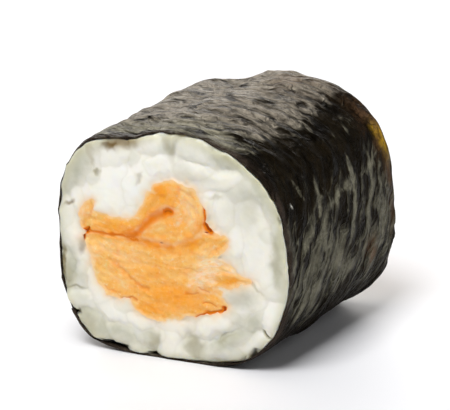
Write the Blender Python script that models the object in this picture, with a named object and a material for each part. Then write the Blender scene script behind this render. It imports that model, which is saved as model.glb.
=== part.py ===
"""One piece of smoked salmon hosomaki: a thin sushi roll cut across, lying on its side.

The roll runs along Y, with one cut face towards -Y and the other towards +Y. Z is up, and the origin
lies on the floor below the middle of the piece. Shapes are worked out in millimetres in the section's
own plane (x, z), and `to_metres` makes them Blender coordinates.
"""

import functools
import math
import random

import bmesh
import bpy
import numpy as np
from mathutils import Matrix, Vector, geometry

# ---- the roll, in millimetres and degrees ----
ROLL_LENGTH = 27.4
SECTION_WIDTH = 27.9
SECTION_HEIGHT = 26.2
SQUARENESS = 2.8  # exponent of the superellipse: 2 is an ellipse, more is squarer
HAND_MARKS = ((49, 1.4, 35), (116, 1.35, 17), (231, -0.5, 10))  # each flat's angle, depth and spread
FLOOR_PRESS = 0.2  # how deep the section would sink into the floor, which makes it flat below
BACK_SWELL = 0.02  # the far end is this share larger

# ---- the nori sheet ----
NORI_THICKNESS = 0.25
LAYER_GAP = 0.05  # between the two layers of the overlap
FLAP_EDGE = 215  # angle of the outer edge of the sheet, low on the -X side
TUCKED_EDGE = 300  # angle of the inner edge, under the overlap
SPIRAL_RUN = 70  # degrees after the flap in which the sheet comes up to the full section
NORI_STEP = 6  # degrees between points round the sheet
NORI_STATIONS = 8
RIPPLE = 0.13
RIPPLE_CLEAR_OF_FLOOR = 4.0  # height over which the ripple fades in
CUT_WANDER = 0.12  # how far the sheet's cut edge strays from a straight cut

# ---- the salmon: strips of fillet, each a row of (x, z, half thickness) stations ----
FOLDED_SLICE = (
    (-9.8, 16.9, 0.3), (-10.3, 15.3, 0.85), (-8.4, 14.6, 1.05), (-6.0, 14.5, 1.0), (-4.8, 14.6, 0.7),
    (-3.25, 16.0, 0.62), (-1.6, 17.9, 1.05), (-0.5, 18.7, 1.5), (1.6, 18.3, 1.7), (2.5, 16.8, 1.65),
    (1.7, 15.4, 1.7), (-0.4, 14.72, 1.47), (-2.1, 14.33, 1.03), (-3.3, 13.9, 0.45),
)
UPPER_LAYER = (
    (-10.3, 12.7, 0.55), (-8.8, 12.0, 1.5), (-6.2, 11.1, 2.3), (-3.0, 10.8, 2.4), (0.2, 10.9, 2.2),
    (3.0, 12.3, 1.8), (5.2, 13.8, 1.2), (6.3, 14.5, 0.5),
)
LOWER_LAYER = (
    (-8.6, 10.0, 1.2), (-6.9, 8.4, 2.0), (-4.7, 7.8, 1.6), (-2.5, 6.7, 2.2), (0.4, 7.2, 2.3),
    (3.0, 7.4, 1.8), (5.0, 7.3, 1.2), (6.1, 7.2, 0.6),
)
SIDE_FLAP = ((1.0, 9.6, 1.6), (3.4, 9.7, 1.4), (5.3, 10.1, 1.2), (7.2, 10.3, 0.95), (9.3, 10.35, 0.3))
PIECE_GAP = 0.3  # clearance between two solids
FILLING_TWIST = 9  # degrees that the filling turns from the near end to the far end
FILLING_DRIFT = 0.5  # how far it wanders over the same length
SALMON_STATIONS = 5
SALMON_OUTLINE_STEP = 0.55
SALMON_FACE_STEP = 1.05
SALMON_CROWN = 0.35  # how far a strip's middle stands out of the cut
SALMON_ROUNDING = 0.9  # how much lower its sides are

# ---- the rice ----
GRAIN_SIZE = (5.8, 2.4, 2.6)  # length, thickness into the roll, width
GRAIN_SPREAD = 0.12  # share by which grains differ in size
GRAIN_SIDES = 7
GRAIN_RINGS = 5
GRAIN_SPACING = 2.6
GRAIN_TO_RIM = 1.0  # least distance from a grain's middle to the sheet
GRAIN_TO_SALMON = 0.9
GRAIN_TILT = 22  # most that a grain leans out of the cut, in degrees
GRAIN_SEED = 11
GRAIN_TRIES = 4000
GRAIN_DEPTH = (0.7, 1.25)  # from the cut to the middle of a grain
RICE_STAND_OUT = 0.4  # the knife leaves the rice this much proud of the sheet
CORE_DEPTH = 0.6  # from the cut to the body of rice between the grains
CORE_INSET = 0.1
RICE_STEP = 5  # degrees between points round the rice
RICE_STATIONS = 4
HOLE_OUTLINE_STEP = 0.8
CONTOUR_CELL = 0.2  # of the grid on which outlines are found


MIDDLE = np.array([0, SECTION_HEIGHT / 2])
MM = 0.001


# ---- the section ----
def floor_outline(degrees):
    """Points (x, z) of the wrapped section's outside, at these angles from +X about its middle."""
    angle = np.radians(np.asarray(degrees, float))
    across, up = np.cos(angle), np.sin(angle)
    across_share = np.abs(across) / (SECTION_WIDTH / 2)
    up_share = np.abs(up) / (SECTION_HEIGHT / 2)
    radius = (across_share**SQUARENESS + up_share**SQUARENESS) ** (-1 / SQUARENESS)
    for at, depth, spread in HAND_MARKS:
        away = (np.degrees(angle) - at + 180) % 360 - 180
        radius = radius - depth * np.exp(-((away / spread) ** 2))
    x = radius * across
    z = SECTION_HEIGHT / 2 - FLOOR_PRESS + radius * up
    return np.stack([x, np.maximum(z, 0)], axis=-1)


def section(degrees, inset):
    """The outline moved inwards by inset, one value or one for each angle."""
    step = 0.5
    along = floor_outline(np.asarray(degrees) + step) - floor_outline(np.asarray(degrees) - step)
    along /= np.linalg.norm(along, axis=-1, keepdims=True)
    inwards = np.stack([-along[:, 1], along[:, 0]], axis=-1)
    return floor_outline(degrees) + inwards * np.reshape(inset, (-1, 1)) * np.ones((len(inwards), 1))


def overlap_share(degrees):
    """1 where the sheet lies double, falling to 0 over a few degrees on each side."""
    soft_edge = 8
    middle = (FLAP_EDGE + TUCKED_EDGE) / 2
    half = (TUCKED_EDGE - FLAP_EDGE) / 2
    away = np.abs((np.asarray(degrees, float) - middle + 180) % 360 - 180)
    return np.clip((half + soft_edge - away) / soft_edge, 0, 1)


def rice_inset(degrees):
    """From the outline to the rice: the sheet, doubled at the overlap, and the clearance."""
    behind_flap = (FLAP_EDGE - np.asarray(degrees, float)) % 360
    spiral = (NORI_THICKNESS + LAYER_GAP) * np.clip(1 - behind_flap / SPIRAL_RUN, 0, 1)
    doubled = (NORI_THICKNESS + LAYER_GAP) * overlap_share(degrees)
    return NORI_THICKNESS + np.maximum(spiral, doubled) + PIECE_GAP


def ripple(points, y):
    """How far the wrapped surface stands out at these (x, z) points and this y: none on the floor."""
    turn = np.arctan2(points[:, 1] - SECTION_HEIGHT / 2, points[:, 0])
    waves = np.sin(5 * turn + 0.33 * y)
    waves += 0.7 * np.sin(8 * turn - 0.55 * y + 1.3)
    waves += 0.5 * np.sin(3 * turn + 0.8 * y)
    return RIPPLE * waves / 2.2 * np.clip(points[:, 1] / RIPPLE_CLEAR_OF_FLOOR, 0, 1)


def to_metres(points, y, wrapped=True):
    """Section points at one y, or one each, as Blender coordinates. What is wrapped follows the ripple."""
    y = np.broadcast_to(np.asarray(y, float), len(points))
    swell = 1 + BACK_SWELL * (y / ROLL_LENGTH + 0.5)
    if wrapped:
        outwards = points - MIDDLE
        outwards /= np.linalg.norm(outwards, axis=1, keepdims=True)
        points = points + outwards * ripple(points, y)[:, None]
    x, z = (points * swell[:, None]).T
    return np.stack([x, y, z], axis=1) * MM


def filling_at(points, y):
    """Section points of the filling carried to station y, where it has turned and drifted a little."""
    share = np.broadcast_to(np.asarray(y, float), len(points)) / ROLL_LENGTH + 0.5
    turn = np.radians(FILLING_TWIST) * share
    x, z = (points - MIDDLE).T
    turned = np.stack([x * np.cos(turn) - z * np.sin(turn), x * np.sin(turn) + z * np.cos(turn)], axis=1)
    drift = FILLING_DRIFT * np.stack([np.sin(z / 4) * share, np.sin(x / 5) * share], axis=1)
    return turned + drift + MIDDLE


# ---- the salmon's outline, as distances from its strips ----
def smooth_row(stations, between=12):
    """The stations of a strip joined by a smooth curve, with this many points between two of them."""
    rows = np.array(stations, float)
    rows = np.vstack([2 * rows[0] - rows[1], rows, 2 * rows[-1] - rows[-2]])
    t = np.linspace(0, 1, between, endpoint=False)[:, None]
    curve = [
        0.5 * (2 * b + (c - a) * t + (2 * a - 5 * b + 4 * c - d) * t**2 + (3 * b - a - 3 * c + d) * t**3)
        for a, b, c, d in zip(rows, rows[1:], rows[2:], rows[3:])
    ]
    return np.vstack([*curve, rows[-2]])


STRIPS = {
    "salmon_fold": [smooth_row(FOLDED_SLICE)],
    "salmon_slab": [smooth_row(UPPER_LAYER), smooth_row(LOWER_LAYER), smooth_row(SIDE_FLAP)],
}


def strip_distance(points, row):
    """Each point's distance to a strip's side, negative inside, and the strip's half thickness there."""
    away = np.linalg.norm(points[:, None, :] - row[None, :, :2], axis=2) - row[:, 2]
    nearest = away.argmin(axis=1)
    return away.min(axis=1), row[nearest, 2]


def piece_distance(points, name):
    """Distance to the side of a piece of salmon. The slab gives way to the fold that lies on it."""
    away = np.min([strip_distance(points, row)[0] for row in STRIPS[name]], axis=0)
    if name == "salmon_slab":
        away = np.maximum(away, PIECE_GAP - piece_distance(points, "salmon_fold"))
    return away


def filling_distance(points):
    return np.minimum(piece_distance(points, "salmon_fold"), piece_distance(points, "salmon_slab"))


def contour(distance, level, step):
    """The outer outline where a distance has this level, as points a step apart, counterclockwise."""
    cells = round(SECTION_WIDTH / CONTOUR_CELL)
    grid = bmesh.new()
    bmesh.ops.create_grid(grid, x_segments=cells, y_segments=cells, size=SECTION_WIDTH / 2)
    flat = np.array([v.co.xy for v in grid.verts]) + MIDDLE
    for vertex, (x, z), height in zip(grid.verts, flat, distance(flat) - level):
        vertex.co = (x, z, height)
    bmesh.ops.triangulate(grid, faces=grid.faces[:])
    everything = grid.verts[:] + grid.edges[:] + grid.faces[:]
    bmesh.ops.bisect_plane(grid, geom=everything, plane_co=(0, 0, 0), plane_no=(0, 0, 1), clear_outer=True)
    loops = boundary_loops(grid)
    grid.free()
    return evenly_spaced(max(loops, key=lambda loop: abs(area_of(loop))), step)


def boundary_loops(mesh):
    """The closed loops of a flat mesh's open edges, each an array of (x, z)."""
    following = {}
    for edge in mesh.edges:
        if edge.is_boundary:
            loop = edge.link_loops[0]
            following[loop.vert] = loop.link_loop_next.vert
    loops = []
    while following:
        start, vertex = following.popitem()
        found = [start]
        while vertex is not start:
            found.append(vertex)
            vertex = following.pop(vertex)
        loops.append(np.array([v.co.xy for v in found]))
    return loops


def area_of(loop):
    x, z = loop.T
    return 0.5 * np.sum(x * np.roll(z, -1) - z * np.roll(x, -1))


def evenly_spaced(loop, step):
    if area_of(loop) < 0:
        loop = loop[::-1]
    closed = np.vstack([loop, loop[:1]])
    run = np.concatenate([[0], np.cumsum(np.linalg.norm(np.diff(closed, axis=0), axis=1))])
    at = np.linspace(0, run[-1], round(run[-1] / step), endpoint=False)
    return np.stack([np.interp(at, run, closed[:, 0]), np.interp(at, run, closed[:, 1])], axis=1)


# ---- meshes ----
def new_object(name, vertices, faces):
    mesh = bpy.data.meshes.new(name)
    mesh.from_pydata(np.asarray(vertices).tolist(), [], [tuple(map(int, face)) for face in faces])
    made = bpy.data.objects.new(name, mesh)
    bpy.context.scene.collection.objects.link(made)
    tidy = bmesh.new()
    tidy.from_mesh(mesh)
    bmesh.ops.recalc_face_normals(tidy, faces=tidy.faces[:])
    tidy.to_mesh(mesh)
    tidy.free()
    return made


def side_faces(rings, around):
    """Quads between rings of this many points each, numbered ring after ring."""
    faces = []
    for start in range(0, (rings - 1) * around, around):
        for i in range(around):
            following = (i + 1) % around
            faces.append((start + i, start + following, start + around + following, start + around + i))
    return faces


def filled(loop, inside):
    """Triangles that fill a loop of points and take in the points inside it, numbered loop first."""
    flat = [Vector(p) for p in np.vstack([loop, inside])]
    result = geometry.delaunay_2d_cdt(flat, [], [list(range(len(loop)))], 1, 1e-6)
    back = [source[0] for source in result[3]]
    return [tuple(back[i] for i in face) for face in result[2]]


def points_inside(distance, step, margin):
    """A triangular lattice of points where the distance is below -margin."""
    across = np.arange(-SECTION_WIDTH / 2, SECTION_WIDTH / 2, step)
    rows = np.arange(0, SECTION_HEIGHT, step * math.sqrt(3) / 2)
    lattice = np.array([(x + (i % 2) * step / 2, z) for i, z in enumerate(rows) for x in across])
    return lattice[distance(lattice) < -margin]


def prism(name, outline_at, stations):
    """A closed solid through the outlines at these stations, with flat ends."""
    rings = [outline_at(y) for y in stations]
    around = len(rings[0])
    ends = [tuple(range(around)), tuple(range((len(rings) - 1) * around, len(rings) * around))]
    solid = new_object(name, np.vstack(rings), side_faces(len(rings), around) + ends)
    apply_modifier(solid, "TRIANGULATE")
    return solid


def apply_modifier(target, kind, **settings):
    modifier = target.modifiers.new(kind.title(), kind)
    for key, value in settings.items():
        setattr(modifier, key, value)
    shape = bpy.data.meshes.new_from_object(target.evaluated_get(bpy.context.evaluated_depsgraph_get()))
    target.modifiers.clear()
    target.data = shape


def combine(target, operation, **operand):
    apply_modifier(target, "BOOLEAN", operation=operation, **operand)


def discard(*helpers):
    for helper in helpers:
        bpy.data.objects.remove(helper)


# ---- the nori ----
def build_nori():
    """One sheet wound once round and on under itself: a strip that starts at its tucked edge, runs
    clockwise under the flap and round the roll, and ends in the flap."""
    start, end = TUCKED_EDGE, FLAP_EDGE - 360
    degrees = np.linspace(start, end, round((start - end) / NORI_STEP) + 1)
    under = NORI_THICKNESS + LAYER_GAP
    rise = np.clip((degrees - (FLAP_EDGE - SPIRAL_RUN)) / SPIRAL_RUN, 0, 1)
    depth = np.where(degrees > FLAP_EDGE, under, under * rise)
    outside, inside = section(degrees, depth), section(degrees, depth + NORI_THICKNESS)
    loop = np.vstack([outside, inside[::-1]])
    wander = CUT_WANDER * (np.sin(np.radians(3 * degrees) + 1) + 0.6 * np.sin(np.radians(7 * degrees)))
    wander = np.concatenate([wander, wander[::-1]])
    half = ROLL_LENGTH / 2
    rings = []
    for share in np.linspace(-1, 1, NORI_STATIONS + 1):
        edge_only = wander * (abs(share) > 0.999)
        rings.append(to_metres(loop, share * (half - edge_only)))
    around = len(loop)
    faces = side_faces(len(rings), around)
    steps = len(degrees)
    for base, turned in ((0, False), ((len(rings) - 1) * around, True)):
        for i in range(steps - 1):
            rim = (base + i, base + i + 1, base + around - 2 - i, base + around - 1 - i)
            faces.append(rim[::-1] if turned else rim)
    return new_object("nori", np.vstack(rings), faces)


# ---- the salmon ----
def crowned(points, name):
    """How far the salmon stands out of the cut: each strip is a low ridge, with creases between them."""
    heights = []
    for row in STRIPS[name]:
        away, half = strip_distance(points, row)
        to_middle = np.clip(1 + away / half, 0, 1)
        heights.append(SALMON_CROWN - SALMON_ROUNDING * (1 - np.sqrt(1 - to_middle**2)))
    return np.max(heights, axis=0)


def build_salmon(name):
    distance = functools.partial(piece_distance, name=name)
    loop = contour(distance, 0, SALMON_OUTLINE_STEP)
    inside = points_inside(distance, SALMON_FACE_STEP, SALMON_FACE_STEP / 2)
    triangles = filled(loop, inside)
    half = ROLL_LENGTH / 2
    vertices, faces = [], side_faces(SALMON_STATIONS, len(loop))
    for share in np.linspace(-1, 1, SALMON_STATIONS):
        y = share * (half + crowned(loop, name) * (abs(share) > 0.999))
        vertices.append(to_metres(filling_at(loop, y), y, wrapped=False))
    last_ring = (SALMON_STATIONS - 1) * len(loop)
    for end, first in ((-1, 0), (1, last_ring)):
        y = end * (half + crowned(inside, name))
        start = sum(len(v) for v in vertices)
        vertices.append(to_metres(filling_at(inside, y), y, wrapped=False))
        numbers = np.concatenate([np.arange(len(loop)) + first, np.arange(len(inside)) + start])
        faces += [tuple(numbers[list(t)]) for t in triangles]
    return new_object(name, np.vstack(vertices), faces)


# ---- the rice ----
def rice_outline(y, inset=0.0):
    degrees = np.arange(0, 360, RICE_STEP)
    return to_metres(section(degrees, rice_inset(degrees) + inset), y)


def rice_body():
    """The packed rice behind and between the grains that show."""
    deep = ROLL_LENGTH / 2 - CORE_DEPTH
    return prism("rice", lambda y: rice_outline(y, CORE_INSET), np.linspace(-deep, deep, RICE_STATIONS + 1))


def grain_places(rng):
    """Where grains lie in a cut face: seeded places in the rice, no nearer together than the spacing."""
    rim = section(np.arange(0, 360, RICE_STEP), NORI_THICKNESS + GRAIN_TO_RIM) - MIDDLE
    rim_angle = np.arctan2(rim[:, 1], rim[:, 0])
    rim_radius = np.linalg.norm(rim, axis=1)
    places = []
    for _ in range(GRAIN_TRIES):
        place = np.array([rng.uniform(-0.5, 0.5) * SECTION_WIDTH, rng.uniform(0, 1) * SECTION_HEIGHT])
        x, z = place - MIDDLE
        room = np.interp(math.atan2(z, x), rim_angle, rim_radius, period=2 * math.pi)
        inside_sheet = math.hypot(x, z) < room
        outside_salmon = filling_distance(place[None])[0] > GRAIN_TO_SALMON
        has_room = all(math.dist(place, other) > GRAIN_SPACING for other in places)
        if inside_sheet and outside_salmon and has_room:
            places.append(place)
    return places


def add_grain(collection, place, end, rng):
    """One grain near a cut face, lying nearly in it. end is -1 for the near face and 1 for the far one."""
    y = end * (ROLL_LENGTH / 2 - rng.uniform(*GRAIN_DEPTH))
    at = to_metres(filling_at(place[None], y), y, wrapped=False)[0]
    radii = [side / 2 * rng.uniform(1 - GRAIN_SPREAD, 1 + GRAIN_SPREAD) * MM for side in GRAIN_SIZE]
    lean = Matrix.Rotation(math.radians(rng.uniform(-GRAIN_TILT, GRAIN_TILT)), 4, "Z")
    turn = Matrix.Rotation(rng.uniform(0, math.pi), 4, "Y")
    poles_along_x = Matrix.Rotation(math.pi / 2, 4, "Y")
    pose = Matrix.Translation(at) @ turn @ lean @ Matrix.Diagonal((*radii, 1)) @ poles_along_x
    grain = bmesh.new()
    bmesh.ops.create_uvsphere(grain, u_segments=GRAIN_SIDES, v_segments=GRAIN_RINGS, radius=1, matrix=pose)
    mesh = bpy.data.meshes.new("grain")
    grain.to_mesh(mesh)
    grain.free()
    collection.objects.link(bpy.data.objects.new("grain", mesh))


def knife_cut():
    """The space that the sheet and the two knife cuts leave for the rice."""
    reach = ROLL_LENGTH / 2 + RICE_STAND_OUT
    return prism("knife_cut", rice_outline, np.linspace(-reach, reach, RICE_STATIONS + 1))


def filling_hole():
    """The salmon's space and its clearance, running past both ends of the roll."""
    loop = contour(filling_distance, PIECE_GAP, HOLE_OUTLINE_STEP)
    reach = ROLL_LENGTH / 2 + 2 * RICE_STAND_OUT
    stations = np.linspace(-reach, reach, SALMON_STATIONS + 1)
    return prism("filling_hole", lambda y: to_metres(filling_at(loop, y), y, wrapped=False), stations)


def build_rice():
    rng = random.Random(GRAIN_SEED)
    grains = bpy.data.collections.new("grains")
    bpy.context.scene.collection.children.link(grains)
    for end in (-1, 1):
        for place in grain_places(rng):
            add_grain(grains, place, end, rng)
    rice = rice_body()
    combine(rice, "UNION", operand_type="COLLECTION", collection=grains)
    trim, hole = knife_cut(), filling_hole()
    combine(rice, "INTERSECT", object=trim)
    combine(rice, "DIFFERENCE", object=hole)
    discard(trim, hole, *grains.objects)
    return rice


# ---- colours ----
def material(name, colour, roughness):
    made = bpy.data.materials.new(name)
    made.use_nodes = True
    shader = made.node_tree.nodes["Principled BSDF"]
    shader.inputs["Base Color"].default_value = (*colour, 1)
    shader.inputs["Roughness"].default_value = roughness
    shader.inputs["Metallic"].default_value = 0
    return made


def finish(solid, colour_material):
    solid.data.materials.clear()
    solid.data.materials.append(colour_material)
    solid.data.shade_smooth()
    solid.data.set_sharp_from_angle(angle=math.radians(40))


def main():
    for old in list(bpy.data.objects):
        bpy.data.objects.remove(old)
    salmon = material("smoked_salmon", (0.93, 0.42, 0.13), 0.35)
    finish(build_nori(), material("nori", (0.018, 0.016, 0.012), 0.45))
    finish(build_salmon("salmon_fold"), salmon)
    finish(build_salmon("salmon_slab"), salmon)
    finish(build_rice(), material("sushi_rice", (0.86, 0.85, 0.78), 0.4))


main()
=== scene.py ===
"""The looks of one piece of smoked salmon hosomaki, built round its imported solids.

Shapes are worked out in millimetres in the section's own plane (x, z) and along the roll (y), and
`to_metres` makes them Blender coordinates. The near cut face looks along -Y.
"""

import functools
import math

import bmesh
import bpy
import numpy as np
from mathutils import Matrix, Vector, geometry


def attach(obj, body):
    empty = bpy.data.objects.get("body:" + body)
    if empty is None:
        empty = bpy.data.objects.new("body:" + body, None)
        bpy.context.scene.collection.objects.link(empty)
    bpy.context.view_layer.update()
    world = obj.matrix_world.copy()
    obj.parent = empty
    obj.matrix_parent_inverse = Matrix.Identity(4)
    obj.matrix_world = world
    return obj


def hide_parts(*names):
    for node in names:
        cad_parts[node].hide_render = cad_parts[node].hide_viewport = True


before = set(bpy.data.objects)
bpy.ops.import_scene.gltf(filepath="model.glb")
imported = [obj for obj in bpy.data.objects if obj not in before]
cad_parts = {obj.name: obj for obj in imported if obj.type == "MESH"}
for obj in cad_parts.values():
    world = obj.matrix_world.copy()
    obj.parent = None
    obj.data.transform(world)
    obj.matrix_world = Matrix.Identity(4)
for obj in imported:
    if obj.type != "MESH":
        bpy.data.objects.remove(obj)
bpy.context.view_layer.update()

# ---- the photograph's view ----
CAMERA_AZIMUTH = 26.0
CAMERA_ELEVATION = 16.4
CAMERA_DISTANCE = 0.4769
CAMERA_TARGET = Vector((-0.0004, 0, 0.013935))
CAMERA_LENS = 344

# ---- the roll, in millimetres and degrees, as the solids have it ----
ROLL_LENGTH = 27.4
HALF_LENGTH = ROLL_LENGTH / 2
SECTION_WIDTH = 27.9
SECTION_HEIGHT = 26.2
SQUARENESS = 2.8
HAND_MARKS = ((49, 1.4, 35), (116, 1.35, 17), (231, -0.5, 10))
FLOOR_PRESS = 0.2
BACK_SWELL = 0.02
MIDDLE = np.array([0, SECTION_HEIGHT / 2])
MM = 0.001
MM_PER_DEGREE = math.pi * SECTION_WIDTH * 0.97 / 360

# ---- the nori sheet ----
NORI_THICKNESS = 0.13
LAYER_GAP = 0.015
FLAP_EDGE = 215
TUCKED_EDGE = 300
SPIRAL_RUN = 70
NORI_STEP_ROUND = 0.42
NORI_STEP_ALONG = 0.2
RIPPLE = 0.13
RIPPLE_CLEAR_OF_FLOOR = 4.0
RELIEF_RISE = 0.2
# How the streaks lean: degrees round, and how far along they have drifted there.
STREAK_LEAN = (
    (-60, 0), (-20, 5.5), (35, 13.5), (60, 12.6), (90, 11.5), (105, 13), (150, 20.5), (220, 10), (300, 0),
)
# How much of the sheet is pale: degrees round, share. Along the angle this share also paints light and
# shade: pale painted sheen over the top, a dark band of painted shade on the shoulder, and painted shadow
# low down where the sheet meets the floor.
PALE_COVER_AND_PAINTED_LIGHT = (
    (-145, 0.4), (-75, 0.2), (-58, -0.2), (-43, -0.2), (-32, 0.2), (-22, 0.5), (-8, 0.52), (2, 0.45),
    (14, 0.3), (24, 0.16), (31, -0.15), (46, -0.15), (53, 0.15), (60, 0.52), (72, 0.72), (100, 0.74),
    (130, 0.72), (150, 0.6), (180, 0.5), (300, 0.45),
)
# Streaks of the sheet: points (degrees round, millimetres along), half width, change of the pale share.
STREAKS = (
    (((29, 4.6), (16.5, 3.8), (8, 2.8), (-2, 1.8)), 0.5, 0.6),
    (((20, 4.1), (17.5, 0.6), (14, -3.2), (1.5, -6.2)), 0.5, 0.5),
    (((25.5, 8.6), (11.5, 8.3), (4, 7.3)), 0.4, 0.5),
    (((22.5, -4.9), (11.5, -5.9), (3.5, -9.4)), 0.4, 0.4),
    (((-1.5, 10.6), (-9, 9.8), (-16, 9.3)), 0.8, 0.3),
    (((0.5, -5.2), (-6.5, -2.7), (-15, -0.2)), 0.8, 0.25),
    (((12, 10.1), (4.5, 10.3)), 0.4, 0.35),
    (((80.5, 9.3), (65.5, 7.1), (52, 5.1), (37.5, 4.3)), 0.3, 0.4),
    (((62.5, 3.1), (49, 1.1), (42, 0.6)), 0.3, 0.4),
    (((62.5, -2.4), (50.5, -4.2), (44, -4.8)), 0.3, 0.35),
    (((59.5, 9.6), (43, 7.6), (30.5, 6.6)), 0.3, 0.4),
    (((36.5, -8.9), (23.5, -8.4)), 0.25, 0.4),
    (((15.5, 0.3), (8, -0.4)), 0.7, -0.6),
    (((15.5, 6.8), (9.5, 6.6)), 0.6, -0.6),
    (((-1, 8.1), (-4, 8.1)), 0.5, -0.5),
    (((-2.5, -9.7), (-3.5, -9.2)), 0.5, -0.5),
    (((8.5, -5.9), (5, -7.4)), 0.5, -0.5),
    (((-3, 1.1), (-8, 0.6)), 0.35, -0.4),
    (((18.5, -9.2), (11.5, -10.4)), 0.6, -0.4),
    (((134, -13.2), (122, -13.1), (106, -13.3)), 0.8, -0.8),
    (((77, -9.7), (73, -9.4)), 0.3, -0.7),
    (((95, 1.3), (86.5, -0.7)), 0.3, -0.6),
    (((108, -1), (101, -3.2)), 0.3, -0.5),
    (((100, 7.5), (94, 6.1)), 0.35, -0.5),
    (((121.5, -7.9), (116.5, -5.4)), 0.3, -0.6),
    (((78.5, 3.3), (72, 2.3)), 0.3, -0.4),
)
# Places where the sheet stands out or in: degrees round, millimetres along, the two radii, height.
SHEET_SWELLS = (
    (66, 12.5, 4, 5, 0.5), (40, 13, 4.5, 6, 0.35), (112, 11, 4.5, 4.5, -0.6), (125, -9, 4.5, 5.5, 0.4),
)
# Where the sheet is doubled up at its cut edges: degrees round, half spread, extra thickness.
EDGE_FOLD = (122, 13, 0.1)
# Coloured spots of the sheet: degrees round, millimetres along, their radii in millimetres, strength. The
# amber spots are painted light shining through the thin sheet, and the specks are painted glints.
SHEET_SPOTS = {
    # The amber spots are painted light: the glow of light passing through the thin sheet at its back rim.
    "painted_amber_glow": ((27, 12.9, 1.5, 0.8, 1), (34, 12.2, 0.8, 0.6, 0.6)),
    "rust": (
        (-17.5, 6.8, 1.4, 1.2, 1), (15, 12.6, 6, 0.9, 0.5), (0, 12.8, 3, 0.8, 0.4), (37, 12.2, 3, 1.7, 0.8),
        (75, 10, 3, 3, 0.35),
    ),
    "black": ((-18.5, 4.7, 0.35, 0.3, 1), (-25, -8, 0.8, 0.25, 0.6), (96, -4, 0.5, 0.6, 0.5)),
    # The specks are painted glints: tiny white highlights.
    "speck": ((23, -10.95, 0.12, 0.12, 1), (58, -3.2, 0.1, 0.1, 0.6), (31, -6.4, 0.1, 0.12, 0.5)),
}

# ---- the salmon: strips of fillet, each a row of (x, z, half thickness) stations ----
FOLDED_SLICE = (
    (-9.8, 16.9, 0.3), (-10.3, 15.3, 0.85), (-8.4, 14.6, 1.05), (-6, 14.5, 1), (-4.8, 14.6, 0.7),
    (-3.25, 16, 0.62), (-1.6, 17.9, 1.05), (-0.5, 18.7, 1.5), (1.6, 18.3, 1.7), (2.5, 16.8, 1.65),
    (1.7, 15.4, 1.7), (-0.4, 14.72, 1.47), (-2.1, 14.33, 1.03), (-3.3, 13.9, 0.45),
)
UPPER_LAYER = (
    (-10.3, 12.7, 0.55), (-8.8, 12, 1.5), (-6.2, 11.1, 2.3), (-3, 10.8, 2.4), (0.2, 10.9, 2.2),
    (3, 12.3, 1.8), (5.2, 13.8, 1.2), (6.3, 14.5, 0.5),
)
LOWER_LAYER = (
    (-8.6, 10, 1.2), (-6.9, 8.4, 2), (-4.7, 7.8, 1.6), (-2.5, 6.7, 2.2), (0.4, 7.2, 2.3),
    (3, 7.4, 1.8), (5, 7.3, 1.2), (6.1, 7.2, 0.6),
)
SIDE_FLAP = ((1, 9.6, 1.6), (3.4, 9.7, 1.4), (5.3, 10.1, 1.2), (7.2, 10.3, 0.95), (9.3, 10.35, 0.3))
# The fold's fillings-out: its lining, crown, neck, heel and corner.
FOLD_FILLS = (
    ((-3.7, 14.3, 0.55), (-2.6, 15.35, 0.7), (-1.6, 16.05, 0.7), (-0.4, 16.7, 0.6), (0.9, 16.9, 0.5)),
    ((-1.8, 19.1, 0.75), (0, 19.5, 0.75), (2.2, 19, 0.9)),
    ((-5.8, 14.7, 0.9), (-4.2, 15.2, 0.75), (-3.2, 16.6, 0.8), (-2.3, 18.2, 0.85)),
    ((-10.4, 14.2, 0.75), (-8.6, 13.8, 0.6), (-6.8, 13.65, 0.5), (-5.2, 13.75, 0.5), (-3.9, 13.9, 0.6)),
    ((3, 16.4, 0.6), (4, 15.8, 0.5), (4.65, 15.25, 0.3)),
)
# The slab's: the bridge up to the fold, its shoulder, and the flap's crown and foot.
SLAB_FILLS = (
    (
        (-10.1, 12.95, 0.5), (-8.4, 13.1, 0.45), (-6.4, 12.9, 0.5), (-4.4, 13.15, 0.6), (-2.4, 12.9, 0.6),
        (0.2, 12.6, 0.5),
    ),
    ((1.2, 12.9, 0.8), (2.8, 13.7, 0.8), (4.1, 14.4, 0.7), (5, 14.7, 0.5)),
    ((2.4, 10.8, 1.3), (4.2, 11.5, 1.1), (5.8, 11.6, 0.75), (7.4, 11.15, 0.45)),
    ((3.2, 8.8, 0.7), (4.6, 8.9, 0.65), (5.7, 8.6, 0.5)),
)
RAGGED = 0.2
FILLING_TWIST = 9
FILLING_DRIFT = 0.5
SALMON_STATIONS = 12
SALMON_STEP = 0.13
SALMON_STAND_OUT = 0.3
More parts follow.
